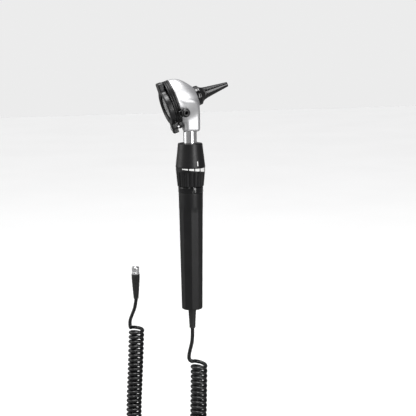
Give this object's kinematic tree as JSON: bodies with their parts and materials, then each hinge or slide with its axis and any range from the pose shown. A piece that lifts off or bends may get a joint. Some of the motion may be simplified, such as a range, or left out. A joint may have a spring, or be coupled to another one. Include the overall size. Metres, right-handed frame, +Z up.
{
  "type": "otoscope",
  "caption": "Ear examination instrument: lit viewing head with swing-aside lens and slide-on speculum, on a round handle with dimmer ring and curly supply cord.",
  "frame": {"origin": "on the handle's axis, at the middle of the glossy seat ring that a cradle's fork holds", "axes": "+Z up the handle towards the head, +X the way the speculum points (tilted up 18.9 degrees), the insufflation port on the -Y side"},
  "size_m": [0.0895, 0.1347, 0.4644],
  "materials": {
    "matte_black": "fine matte moulded plastic",
    "gloss_black": "polished black plastic",
    "cord_black": "glossy black jacket",
    "satin_chrome": "satin chrome plating",
    "bright_chrome": "polished chrome plating",
    "steel": "plain turned steel",
    "brass": "bare turned brass",
    "aluminium": "turned aluminium",
    "clear_glass": "clear polished glass",
    "white_ink": "white printed marking",
    "white_nylon": "natural nylon",
    "seal_rubber": "soft black rubber",
    "red_wire": "red wire insulation",
    "blue_wire": "blue wire insulation"
  },
  "bodies": {
    "handle": {"handle_shell": "matte_black", "seat_ring": "gloss_black", "grub_screw": "gloss_black", "stop_pin": "steel", "stem": "aluminium", "lock_nut": "brass", "resistor_track": "gloss_black", "thrust_washer": "white_nylon", "collar": "matte_black", "index_mark": "white_ink", "pin_insulator": "white_nylon", "contact_spring": "steel", "pin_conductor": "red_wire", "track_conductor": "blue_wire", "strain_relief": "cord_black", "cord_stub": "cord_black", "cord_clamp": "white_nylon", "clamp_screws": "steel", "cord_lead": "cord_black", "cord_coil": "cord_black", "cord_tail": "cord_black", "far_relief": "cord_black", "outlet_ferrule": "bright_chrome"},
    "dimmer": {"dimmer_ring": "matte_black", "scale_marks": "white_ink", "wiper_carrier": "white_nylon", "wiper": "brass"},
    "contact": {"contact_pin": "brass"},
    "head": {"neck": "bright_chrome", "lamp_contact": "brass", "lamp_body": "aluminium", "lamp_bulb": "clear_glass", "guide_ferrule": "brass", "housing": "satin_chrome", "light_guide": "clear_glass", "speculum_mount": "aluminium", "light_ring": "clear_glass", "holder_ring": "gloss_black", "rear_ring": "matte_black", "window_seal": "seal_rubber", "ring_screws": "steel", "pivot_pin": "bright_chrome", "pivot_bushing": "bright_chrome", "nipple": "gloss_black"},
    "window": {"window_frame": "matte_black", "tab_pins": "steel", "lens": "clear_glass", "lens_retainer": "matte_black"},
    "speculum": {"speculum": "gloss_black"}
  },
  "joints": [
    {"name": "dimmer_turn", "type": "hinge", "parent": "handle", "child": "dimmer", "pos_m": [0, 0, 0.012], "axis": [0, 0, 1], "range_deg": [-43, 65]},
    {"name": "contact_press", "type": "slide", "parent": "handle", "child": "contact", "axis": [0, 0, -1], "range_m": [0, 0.0015], "stiffness_N_per_m": 300, "springref_m": -0.002, "deforming": ["contact_spring"]},
    {"name": "head_lift", "type": "slide", "parent": "handle", "child": "head", "axis": [0, 0, 1], "range_m": [0, 0.025]},
    {"name": "window_swing", "type": "hinge", "parent": "head", "child": "window", "pos_m": [-0.01531, 0, 0.06071], "axis": [0.9461, 0, 0.3239], "range_deg": [-100, 100]},
    {"name": "speculum_slide", "type": "slide", "parent": "head", "child": "speculum", "axis": [0.9461, 0, 0.3239], "range_m": [0, 0.03]}
  ]
}
